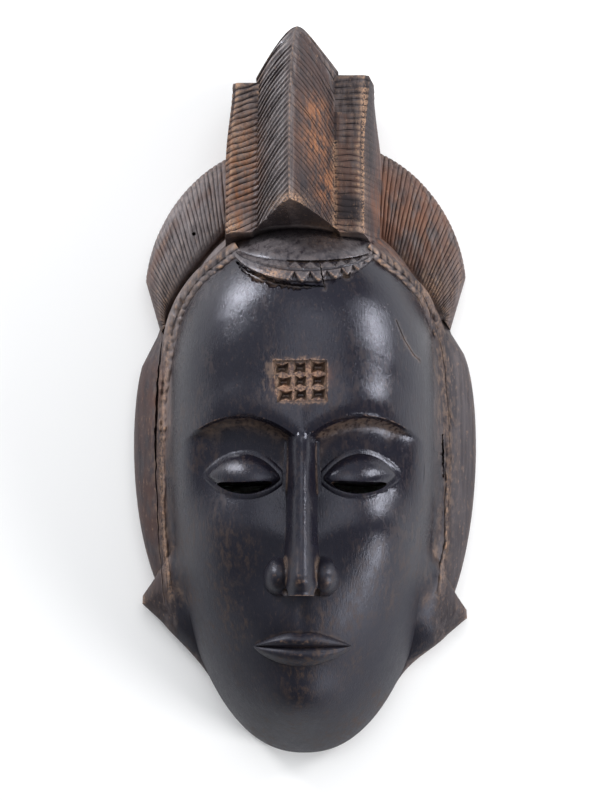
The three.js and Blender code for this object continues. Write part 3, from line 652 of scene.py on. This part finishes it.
# The hollow behind the face, the slits of the eyes, and the flat back. The hollow is roughly adzed, and its
# wood is left bare and brown.
wall, side_wall = 12, 9
under_sockets = 12  # more wood, because the sockets lie back from the dome
u, v = np.meshgrid(np.linspace(-1, 1, 62), np.linspace(-1, 1, 80))
x, y = dome_point(u, v)
shrink = (face_half_width - side_wall) / face_half_width
z = dome_z(x, y) * (dome_depth - wall - under_sockets) / dome_depth
cavity = grid(x * shrink, widest_y + (y - widest_y) * shrink, z)
squeeze = [1, 0.6, 1]  # the adze's hollows are longer than wide
strokes = hand.uniform([-70, -190, 0], [70, 90, 80], (170, 3)) * squeeze
nearest = np.sqrt(((cavity[:, :, None] * squeeze - strokes) ** 2).sum(-1)).min(-1)
cavity[..., 2] -= 0.012 * np.minimum(nearest, 14) ** 2 * smooth(2, 20, z)
carve(mask, solid("hollow", cavity, dropped(cavity, 2 * buried), inside), "DIFFERENCE")
slit_y = eye_y - 6.5
for side in (-1, 1):
    s, rows = np.meshgrid(np.linspace(-1, 1, 33), [-1, 0, 1])
    middle, width = slit_y + 2.6 * s * s, np.sqrt(1.02 - s * s)
    front_slit = grid(side * eye_x + 15.6 * s, middle + rows * 3.6 * width, dome_depth + 6)
    back_slit = grid(side * eye_x + 13.9 * s, middle + rows * 1.9 * width, 64)
    carve(mask, solid("eye slit", front_slit, back_slit), "DIFFERENCE")
    carve(mask, solid("eye slit", back_slit + [0, 0, 1], dropped(back_slit, 20), inside), "DIFFERENCE")
x, y = np.meshgrid([-160, 160], [-260, 260])
back_plane = grid(x, y, 0)
carve(mask, solid("back plane", back_plane, back_plane - [0, 0, 40], inside), "DIFFERENCE")

mesh = mask.data
mesh.validate()
mesh.shade_smooth()
mesh.set_sharp_from_angle(angle=np.radians(38))
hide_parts("mask")
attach(mask, "root")

# The finish: blackened, oiled and polished on the face, matte in the hair, rubbed back to brown and tan wood
# on edges and where it was held, with pale dust in the corners. The inside is bare brown wood.
# Some light is painted into the colour too: shade in cuts, coves, the diadem's pits and under the crest,
# light in the right cove, and sheen and glints on ridges.
black_wood, umber_wood = (0.0070, 0.0065, 0.0115, 1), (0.043, 0.027, 0.020, 1)
soot_and_shade, ash_grey_and_painted_light = (0.024, 0.019, 0.020, 1), (0.260, 0.234, 0.238, 1)
hair_dark, hair_grey, hair_red = (0.036, 0.027, 0.026, 1), (0.125, 0.104, 0.102, 1), (0.150, 0.070, 0.044, 1)
worn_brown_and_sheen, worn_orange = (0.205, 0.140, 0.105, 1), (0.270, 0.115, 0.052, 1)
worn_tan = (0.420, 0.255, 0.160, 1)
dust_colour, groove_black_and_shade = (0.270, 0.180, 0.125, 1), (0.010, 0.008, 0.008, 1)


def read(items, field, width, kind=float):
    """One field of every item of a mesh collection, as an array with `width` numbers to a row."""
    values = np.empty(len(items) * width, kind)
    items.foreach_get(field, values)
    return values.reshape(-1, width) if width > 1 else values


def relaxed(values, edges, pull, rounds):
    """Values at the vertices, each pulled towards its neighbours by `pull` along every edge while a spring of
    strength 1 holds it at its own place, worked out by going round again and again."""
    count = len(values)
    stiff = 1 + np.bincount(edges[:, 0], pull, count) + np.bincount(edges[:, 1], pull, count)
    found = values
    for _ in range(rounds):
        drawn = np.stack([
            np.bincount(edges[:, 0], pull * found[edges[:, 1], k], count)
            + np.bincount(edges[:, 1], pull * found[edges[:, 0], k], count)
            for k in range(values.shape[1])
        ], 1)
        found = (values + drawn) / stiff[:, None]
    return found


def patch(place, x, y, half_x, half_y):
    """A soft oval patch: 1 at x, y and falling off as a Gaussian over half_x and half_y."""
    return bell(np.hypot((place[:, 0] - x) / half_x, (place[:, 1] - y) / half_y), 1)


# How matte each vertex is, from the finish of the faces round it.
place = read(mesh.vertices, "co", 3) / mm
normal = read(mesh.vertex_normals, "vector", 3)
edges = read(mesh.edges, "vertices", 2, int)
corner_vertex = read(mesh.loops, "vertex_index", 1, int)
corners = read(mesh.polygons, "loop_total", 1, int)
finish = read(mesh.attributes["finish"].data, "value", 1)
bare_faces = finish > inside - 0.1
seen = np.repeat(~bare_faces, corners)
matte = np.bincount(corner_vertex, np.repeat(np.minimum(finish, hair), corners) * seen, len(place))
matte /= np.maximum(1, np.bincount(corner_vertex, seen, len(place)))
length = np.maximum(0.15, np.linalg.norm(place[edges[:, 0]] - place[edges[:, 1]], axis=1))
matte = relaxed(matte[:, None], edges, (0.8 / length) ** 2, 4)[:, 0]

# How far the surface stands out from what is round it, close by and farther off.
near = ((place - relaxed(place, edges, (1.2 / length) ** 2, 24)) * normal).sum(1)
wide = ((place - relaxed(place, edges, (5 / length) ** 2, 50)) * normal).sum(1)

# The places where the finish changes.
x, y, z = place.T
off_axis = np.abs(x)
facing_crest, facing_out = normal[:, 1], normal[:, 2]
beside_face = egg_radius(x, y)
strip_x = np.interp(y, strip_ys[::-1], strip_xs[::-1]) + strip_out * (x > 0)
strip_top = smooth(0.93, 0.97, beside_face) * (1 - smooth(1.06, 1.1, beside_face)) * (z > 20) * (y > -20)
inboard = (1 - smooth(-3.2, -1.2, off_axis - strip_x)) * (1 - smooth(-45, -15, y)) * (z > 14)
behind_strip = smooth(1, 3, y - 78 + 0.82 * (off_axis - 35)) * (off_axis > 39) * (y < 100)
lobes = (off_axis > 41) & (y > 36) & (z < 40)
by_strip = (1 - smooth(1.07, 1.14, beside_face)) * lobes * (x > 0)
gutter_here = (1 - smooth(21, 25.5, z)) * (beside_face < 1.28) * lobes * (x < 0)
crest_x = x - crest_lean * z
crest_here = (y > 83) & (z > 24) & (off_axis < 46)
front_z = 66  # just behind the tresses' fronts
crest_front = crest_here & (z > front_z)
keel_left = crest_front * smooth(1, 5, -crest_x) * (crest_x > -23)
ridge_line = crest_front * bell(crest_x, 2.5) * smooth(98, 108, y)
vault_here = (y > 66) & (y < 102) & (z > 40)
diadem_here = smooth(1.2, 2.2, z - dome_z(x, y)) * (y > 50) * (y < 90) * (off_axis < 42) * (z > 60)
left_edge = panel_x - panel_width / 2 + panel_skew * (0.5 - (y - panel_y) / panel_height)
right_edge = panel_x + panel_width / 2
bars = (x > left_edge - 0.5) & (x < right_edge + 0.5) & (np.abs(y - panel_y) < panel_height / 2 + 0.5)
matte = np.maximum(matte * (1 - inboard), behind_strip)

# Worn: rubbed back to orange wood on the keel, the left tress and the panel.
worn = 0.6 * patch(place, -10, -2, 5, 4) + 0.5 * patch(place, 8, 4, 7, 6)
keel_spots = [(8, 148, 7, 9), (8, 131, 8, 11), (13, 110, 6, 12)]
left_tress_spots = [(-33, 124, 9, 20), (-34, 104, 8, 11), (-36, 90, 6, 6)]
for spot in keel_spots + left_tress_spots:
    worn = np.maximum(worn, patch(place, *spot))

# Red: the reddish brown of the left flange, the right lobe, the panel's bars and parts of the crest.
red = patch(place, 62, 92, 24, 34) * lobes + patch(place, -85, -60, 10, 46) + patch(place, -85, 0, 8, 20)
red += 1.2 * patch(place, 42, 102, 7, 24) * (z < front_z)
red += 0.6 * crest_front * (crest_x > 2) + 0.4 * patch(place, -34, 100, 8, 36)
# The left cove between lobe and strip gets red as well, as part of the dark red painted shade laid in it.
red += 0.7 * bars + 0.5 * gutter_here

# Proud: how far it stands out close by, held down on the keel, the strip and the lobes, which wear less.
proud = near * (1 - np.maximum(0.5 * keel_left, np.maximum(0.7 * ridge_line, 0.35 * strip_top)))
proud *= 1 - lobes * np.where(x < 0, 0.15, 0.35)
proud *= 1 - 0.5 * by_strip

# Tone: ash grey where it is above 0, and soot where it is below; in places the ash grey is painted light and
# the soot is painted shade, as marked below.
tone = 0.45 * patch(place, -64, 92, 26, 36) * lobes
tone += 0.24 * patch(place, -62, 62, 14, 14) * ~lobes
tone -= 0.35 * bell(off_axis - strip_x, 3) * (y < -20)
tone -= crest_here * smooth(0.45, 0.8, np.abs(normal[:, 0])) * (off_axis > 28) * smooth(95, 135, y)
tone -= 0.4 * keel_left
tone -= 0.27 * crest_here * (crest_x > 18) * (z > 40) + 0.4 * patch(place, 10, 96, 16, 20) * (z > front_z)
tone -= 0.7 * crest_front * (crest_x > 2) * (crest_x < 23)
# Painted shade: the underside of the crest, where it faces the chin, is darkened.
tone -= 0.15 * vault_here * smooth(0.4, 0.8, -facing_crest)
tone -= 0.5 * (off_axis > 78) * (y < 40) * (1 - 0.5 * (x > 0) * smooth(-50, 0, y))
tone -= 0.3 * patch(place, 78, 0, 5, 70)
# Painted glints: on the keel's left flank the ridge tops are lightened towards ash grey and the rest
# darkened, with one brighter spot near the ridge.
tone += keel_left * (2.6 * smooth(0.05, 0.4, near) - 0.4 + 0.35 * patch(place, -12, 130, 6, 22))
# Painted shade: the diadem's low parts, its pits and the foot of its rims, are darkened; the rest of it is
# lightened.
tone += diadem_here * (0.3 - 0.9 * smooth(0.1, 0.5, -proud))
# The strip's top is toned. The left cove between lobe and strip is darkened as painted shade, and the shaded
# cove beside the right strip is lightened as painted light.
tone += strip_top * np.where(x < 0, 0.2, -0.6) - 0.45 * gutter_here + 0.35 * by_strip
tone += 0.3 * patch(place, -32, 126, 8, 20) * (z > 50)
tone -= 0.5 * smooth(0.55, 0.9, facing_crest) * (y > 100) + 0.3 * behind_strip * (z > 27) * ~lobes

# Oiled: the shine of the face, the keel's left flank and the left lobe.
oiled = keel_left + 0.5 * lobes * (x < 0)
oiled += (1 - matte) * (0.75 * smooth(-130, -50, y) + 0.25 * smooth(-160, -100, y) * smooth(-60, 20, x))

# Dusty: along the strip, at the right temple, under the crest and in and beside the panel.
dusty = smooth(0.9, 0.97, beside_face) * (1 - smooth(1.05, 1.15, beside_face))
dusty *= 0.7 * (z > 14) * (np.abs(y + 30) < 90) * np.maximum(0.3, matte)
dusty += patch(place, 70, 60, 9, 11) + 0.6 * patch(place, 56, 73, 10, 8)
dusty += 0.7 * patch(place, 15, 84, 7, 4) * (z > 60)
dusty += 0.9 * patch(place, -17, 3, 5, 11) + 0.3 * patch(place, 0, 0, 18, 14)

# Pale: bare light wood on chipped and rubbed edges of the crest and the strip, the bars and the scratch.
pale_tips = patch(place, -7, 97.5, 9, 4) + patch(place, -39, 87, 5, 5) + patch(place, -17.5, 59.5, 7, 3)
pale_tips += 0.8 * bell(x - 33.8, 1.6) * (y > 84) * (y < 165) * (z > 40)
pale_tips += 0.6 * bell(x - 17.6, 1.5) * (y > 82) * (y < 135)
pale_tips *= smooth(0.1, 0.5, facing_out)
pale_tips += np.where(x < 0, 0.34, 0.14) * bell(off_axis - strip_x, 1.3) * (np.abs(y + 39) < 77) * (z > 20)
pale_tips += 0.45 * patch(place, -33, 132, 7, 16) * (z > 50) + 0.28 * patch(place, 14, 85, 13, 5) * (z > 60)
pale_tips += 0.4 * patch(place, 71, 57, 6, 9) * lobes
scratch_x = np.interp(y, [b for a, b in scratch[::-1]], [a for a, b in scratch[::-1]])
broken = smooth(-0.2, 0.3, ripple(place, 6, 92))
pale_tips += 0.8 * bell(x - scratch_x, 0.26) * (y > 14) * (y < 36) * (z > 60) * broken
pale_tips += 0.55 * bars * smooth(-1.9, -1.2, z - ground_z(x, y)) * smooth(0.2, 0.6, facing_out)

mesh.attributes.remove(mesh.attributes["finish"])
for name, values in (
    ("matte", matte), ("proud", proud), ("low", -proud), ("fold", -wide), ("worn", worn),
    ("red", red), ("tone", tone), ("oiled", oiled), ("dusty", dusty), ("pale", pale_tips),
):
    mesh.attributes.new(name, "FLOAT", "POINT").data.foreach_set("value", values)


def add_node(tree, kind, inputs=(), **settings):
    """Adds a node. Each of `inputs` is a socket's name or number with a value or another node's socket."""
    made = tree.nodes.new(kind)
    for key, value in settings.items():
        setattr(made, key, value)
    for key, value in dict(inputs).items():
        if isinstance(value, bpy.types.NodeSocket):
            tree.links.new(value, made.inputs[key])
        else:
            made.inputs[key].default_value = value
    return made


def ramp(tree, value, low, high):
    """An S-curve from 0 at low to 1 at high."""
    limits = {"Value": value, "From Min": low, "From Max": high}
    return add_node(tree, "ShaderNodeMapRange", limits, interpolation_type="SMOOTHSTEP").outputs[0]


def maths(tree, how, a, b):
    """Arithmetic on two values."""
    return add_node(tree, "ShaderNodeMath", {0: a, 1: b}, operation=how).outputs[0]


def held(value):
    """Holds what a maths node gives between 0 and 1."""
    value.node.use_clamp = True
    return value


def product(tree, found, *others):
    """Values multiplied together one after another, and held between 0 and 1 at the end."""
    for other in others:
        found = maths(tree, "MULTIPLY", found, other)
    return held(found)


def scaled(tree, value, gain, more):
    """A value times a gain, plus one more value."""
    return maths(tree, "ADD", maths(tree, "MULTIPLY", value, gain), more)


def blend_colour(tree, share, under, over):
    """Lays one colour over another by a share of 0 to 1."""
    return add_node(tree, "ShaderNodeMix", {0: share, 6: under, 7: over}, data_type="RGBA").outputs[2]


def blend_value(tree, share, under, over):
    """The same for a plain value."""
    return add_node(tree, "ShaderNodeMix", {0: share, 2: under, 3: over}).outputs[0]


def attribute(tree, name):
    """A value kept at the mesh's vertices."""
    return add_node(tree, "ShaderNodeAttribute", attribute_name=name).outputs["Fac"]


def noise(tree, stretch, scale, detail=4, rough=0.55):
    """Noise on Object coordinates, in features per metre, drawn out along Y where stretch is below 1."""
    spot = add_node(tree, "ShaderNodeTexCoord").outputs["Object"]
    spot = add_node(tree, "ShaderNodeMapping", {"Vector": spot, "Scale": (1, stretch, 1)}).outputs[0]
    inputs = {"Vector": spot, "Scale": scale, "Detail": detail, "Roughness": rough}
    return add_node(tree, "ShaderNodeTexNoise", inputs).outputs[0]


def new_group(name, inputs, outputs):
    """An empty node group with named value sockets, with its input and output nodes."""
    group = bpy.data.node_groups.new(name, "ShaderNodeTree")
    kind = "NodeSocketFloat"
    for socket, value in inputs.items():
        group.interface.new_socket(socket, in_out="INPUT", socket_type=kind).default_value = value
    for socket in outputs:
        group.interface.new_socket(socket, in_out="OUTPUT", socket_type=kind)
    return group, group.nodes.new("NodeGroupInput").outputs, group.nodes.new("NodeGroupOutput").inputs


# Grain: fibres along the length of the wood, coarse streaks and fine pores.
grain, given, result = new_group("wood grain", {"Scale": 260}, ["Streaks", "Pores"])
grain.links.new(noise(grain, 0.07, given["Scale"], 5, 0.6), result["Streaks"])
grain.links.new(noise(grain, 0.2, 1500, 3, 0.6), result["Pores"])

# Edge wear: where the surface stands proud, broken up by noise.
inputs = {"Proud": 0, "Start": 0.05, "Full": 0.3, "Break-up": 0.12}
edge_wear, given, result = new_group("edge wear", inputs, ["Mask"])
uneven = maths(edge_wear, "SUBTRACT", noise(edge_wear, 1, 420), 0.5)
uneven = maths(edge_wear, "MULTIPLY", uneven, given["Break-up"])
raised = scaled(edge_wear, uneven, 2, given["Proud"])
edge_wear.links.new(ramp(edge_wear, raised, given["Start"], given["Full"]), result["Mask"])

# Dust: settled where the surface lies low, in clots.
dust, given, result = new_group("dust", {"Low": 0, "Amount": 1, "Start": 0.1, "Full": 0.6}, ["Mask"])
clots = ramp(dust, noise(dust, 1, 330, 5, 0.65), 0.38, 0.62)
settled = ramp(dust, given["Low"], given["Start"], given["Full"])
settled = product(dust, settled, given["Amount"], scaled(dust, clots, 0.75, 0.25))
dust.links.new(settled, result["Mask"])


def grouped(tree, group, inputs):
    """Places a node group in a material with its own values."""
    return add_node(tree, "ShaderNodeGroup", inputs, node_tree=group).outputs


def new_material(name):
    """A material with its node tree and its shader."""
    made = bpy.data.materials.new(name)
    made.use_nodes = True
    return made, made.node_tree, made.node_tree.nodes["Principled BSDF"]


def bump(tree, shader, height, strength, depth):
    """Small relief: a height of about 0 to 1, `depth` metres deep."""
    inputs = {"Strength": strength, "Distance": depth, "Height": height}
    tree.links.new(add_node(tree, "ShaderNodeBump", inputs).outputs[0], shader.inputs["Normal"])


wood, tree, shader = new_material("blackened wood")
matte_here, proud_here, low_here, tone_here, dusty_here = (
    attribute(tree, name) for name in ("matte", "proud", "low", "tone", "dusty")
)
unoiled = held(maths(tree, "SUBTRACT", 1, attribute(tree, "oiled")))
fibre = grouped(tree, grain, {"Scale": 380})
cloud, fine = noise(tree, 0.7, 30, 6, 0.65), noise(tree, 0.5, 340, 5, 0.65)

# Oiled skin in black and umber, and hair in two greys and a red.
brown_patches, brown_specks = ramp(tree, cloud, 0.42, 0.62), ramp(tree, fine, 0.44, 0.66)
brown = product(tree, brown_patches, brown_specks, scaled(tree, unoiled, 0.6, 0.4))
skin = blend_colour(tree, brown, black_wood, umber_wood)
locks = blend_colour(tree, ramp(tree, fibre["Streaks"], 0.32, 0.7), hair_dark, hair_grey)
reddened = product(tree, attribute(tree, "red"), ramp(tree, noise(tree, 0.4, 160), 0.3, 0.62))
locks = blend_colour(tree, reddened, locks, hair_red)
base = blend_colour(tree, matte_here, skin, locks)

# What lies over it: wear and painted sheen, ash grey and painted glints, soot and painted shade, light
# specks, black grooves with painted shade, and dust, each as a share of 0 to 1.
# Ridges: lighter ridge tops, partly rubbed wood and partly a painted sheen.
ridges = product(tree, ramp(tree, proud_here, 0.04, 0.34), ramp(tree, fine, 0.34, 0.62), matte_here)
greyed_and_lit = product(tree, tone_here, ramp(tree, fine, 0.25, 0.6))
sooty_and_shaded = product(tree, tone_here, -1)
speckle = ramp(tree, noise(tree, 0.35, 700, 4, 0.7), 0.56, 0.74)
specks = product(tree, speckle, 0.4, scaled(tree, matte_here, 0.85, 0.15))
rubbing = ramp(tree, noise(tree, 0.6, 300, 6, 0.65), 0.36, 0.64)
rubbed = product(tree, attribute(tree, "worn"), rubbing, 0.95)
start = blend_value(tree, matte_here, 0.36, 0.3)
full = maths(tree, "ADD", start, 0.45)
inputs = {"Proud": proud_here, "Start": start, "Full": full, "Break-up": 0.5}
edge = product(tree, grouped(tree, edge_wear, inputs)["Mask"], scaled(tree, matte_here, 0.35, 0.45))
tips = product(tree, attribute(tree, "pale"), ramp(tree, noise(tree, 1, 800, 4, 0.65), 0.4, 0.6))
# Black in the cuts and hollows: partly the stain kept there and partly painted shade.
groove = product(tree, ramp(tree, low_here, 0.03, 0.3), scaled(tree, matte_here, 0.7, 0.3))
strewn = scaled(tree, dusty_here, 0.7, 0.3)
inputs = {"Low": attribute(tree, "fold"), "Amount": strewn, "Start": 0.2, "Full": 1}
dirt = grouped(tree, dust, inputs)["Mask"]
loose = product(tree, dusty_here, ramp(tree, noise(tree, 0.5, 380, 5), 0.46, 0.64))
dirt = maths(tree, "MAXIMUM", dirt, maths(tree, "MULTIPLY", loose, 0.45))
for share, colour in (
    (ridges, worn_brown_and_sheen), (greyed_and_lit, ash_grey_and_painted_light), (sooty_and_shaded, soot_and_shade), (specks, worn_tan), (rubbed, worn_orange),
    (edge, worn_tan), (tips, worn_tan), (groove, groove_black_and_shade), (dirt, dust_colour),
):
    base = blend_colour(tree, share, base, colour)
tree.links.new(base, shader.inputs["Base Color"])

# Gloss of the oiled skin, and dull hair, edges and dust.
gloss = maths(tree, "ADD", scaled(tree, cloud, 0.12, maths(tree, "MULTIPLY", fine, 0.2)), 0.015)
gloss = scaled(tree, unoiled, 0.34, scaled(tree, brown, 0.12, gloss))
hair_dull = product(tree, matte_here, scaled(tree, unoiled, 0.75, 0.12))
dull = maths(tree, "MAXIMUM", hair_dull, maths(tree, "MAXIMUM", edge, dirt))
tree.links.new(blend_value(tree, dull, gloss, 0.95), shader.inputs["Roughness"])
shader.inputs["Specular IOR Level"].default_value = 0.37
shader.inputs["Specular Tint"].default_value = (0.84, 0.86, 1, 1)
height = maths(tree, "MULTIPLY", fibre["Streaks"], maths(tree, "ADD", matte_here, 0.04))
height = scaled(tree, fine, 0.24, scaled(tree, fibre["Pores"], 0.44, height))
bump(tree, shader, height, 0.6, 0.0006)

# The bare wood of the hollow.
raw_wood, raw_dark = (0.230, 0.135, 0.072, 1), (0.080, 0.045, 0.026, 1)
bare, tree, shader = new_material("bare wood")
fibre = grouped(tree, grain, {"Scale": 180})
base = blend_colour(tree, ramp(tree, fibre["Streaks"], 0.3, 0.7), raw_dark, raw_wood)
inputs = {"Proud": attribute(tree, "proud"), "Start": 0.15, "Full": 0.6, "Break-up": 0.2}
base = blend_colour(tree, grouped(tree, edge_wear, inputs)["Mask"], base, worn_tan)
inputs = {"Low": attribute(tree, "fold"), "Amount": 0.6, "Start": 0.1, "Full": 0.8}
base = blend_colour(tree, grouped(tree, dust, inputs)["Mask"], base, dust_colour)
tree.links.new(base, shader.inputs["Base Color"])
shader.inputs["Roughness"].default_value = 0.75
bump(tree, shader, scaled(tree, fibre["Pores"], 0.3, fibre["Streaks"]), 0.7, 0.0008)

mesh.materials.clear()
mesh.materials.append(wood)
mesh.materials.append(bare)
mesh.polygons.foreach_set("material_index", bare_faces.astype(np.int32))

# The table: a plain pale floor, much wider than the view. It lies a little below the mask's flat back, so
# that the two surfaces never fall together.
table_half, table_top, table_foot = 2500, -0.3, -20
pale, tree, shader = new_material("pale table")
shader.inputs["Base Color"].default_value = (0.94, 0.94, 0.94, 1)
shader.inputs["Roughness"].default_value = 0.9
u, v = np.meshgrid(np.linspace(-table_half, table_half, 3), np.linspace(-table_half, table_half, 3))
table = solid("table", grid(u, v, table_top), grid(u, v, table_foot))
table.data.materials.append(pale)

# Studio light: soft boxes at the right, the left and the lower right, and a large weak light overhead. The
# room round them is brightest towards the crest, above and to the left.


def soft_light(name, place, aim, size, watts):
    """A rectangular area light at place, in metres, turned towards aim."""
    lamp = bpy.data.lights.new(name, "AREA")
    lamp.shape = "RECTANGLE"
    lamp.size, lamp.size_y = size
    lamp.energy = watts
    holder = bpy.data.objects.new(name, lamp)
    holder.location = place
    holder.rotation_euler = (Vector(aim) - Vector(place)).to_track_quat("-Z", "Y").to_euler()
    bpy.context.scene.collection.objects.link(holder)


def graded(tree, value, low, high, start=-1, end=1):
    """An even change from low to high, as the value goes from start to end."""
    limits = {"Value": value, "From Min": start, "From Max": end, "To Min": low, "To Max": high}
    return add_node(tree, "ShaderNodeMapRange", limits).outputs[0]


soft_light("right soft box", (1.55, 0.75, 0.65), (0, 0, 0.05), (0.5, 0.42), 20)
soft_light("left soft box", (-1.4, 1.25, 0.58), (0, 0, 0.05), (0.45, 0.45), 34)
soft_light("low right soft box", (1.5, -0.75, 0.8), (0, 0, 0.05), (0.65, 0.42), 23)
soft_light("overhead", (0.2, 0.8, 2.3), (0, 0, 0), (1.4, 1.4), 11)
world = bpy.data.worlds.new("studio")
world.use_nodes = True
sky = world.node_tree
direction = add_node(sky, "ShaderNodeTexCoord").outputs["Generated"]
towards = add_node(sky, "ShaderNodeSeparateXYZ", {0: direction}).outputs
strength = graded(sky, towards["Y"], 0.07, 1.25)
strength = maths(sky, "MULTIPLY", strength, graded(sky, towards["Z"], 0.25, 1.06, -0.05, 0.5))
strength = maths(sky, "MULTIPLY", strength, graded(sky, towards["X"], 1.08, 0.6))
sky.nodes["Background"].inputs["Color"].default_value = (0.95, 0.97, 1, 1)
sky.links.new(strength, sky.nodes["Background"].inputs["Strength"])
bpy.context.scene.world = world
bpy.context.scene.view_settings.view_transform = "Standard"

# The camera looks down on the mask from a little towards the chin and to the right, at 2.2 m. The scale of
# the photograph and the place of the mask's origin in it give the lens and the aim.
frame_width_px, frame_height_px = 603, 800
millimetres_per_pixel = 0.5622
origin_px = (305, 394.9)
camera_distance = 2.2
sensor_height = 24
tip, turn = np.radians(4), np.radians(1.2)
camera = bpy.data.cameras.new("camera")
camera.sensor_fit = "VERTICAL"
camera.sensor_height = sensor_height
camera.lens = sensor_height * camera_distance / (frame_height_px * millimetres_per_pixel / 1000)
view = bpy.data.objects.new("camera", camera)
shift_px = np.array([frame_width_px / 2 - origin_px[0], origin_px[1] - frame_height_px / 2])
aim = Vector((*(shift_px * millimetres_per_pixel / 1000), 0))
backward = Vector((np.sin(turn), -np.sin(tip) * np.cos(turn), np.cos(tip) * np.cos(turn)))
view.location = aim + camera_distance * backward
right = Vector((0, 1, 0)).cross(backward).normalized()
view.rotation_euler = Matrix((right, backward.cross(right), backward)).transposed().to_euler()
bpy.context.scene.collection.objects.link(view)
bpy.context.scene.camera = view
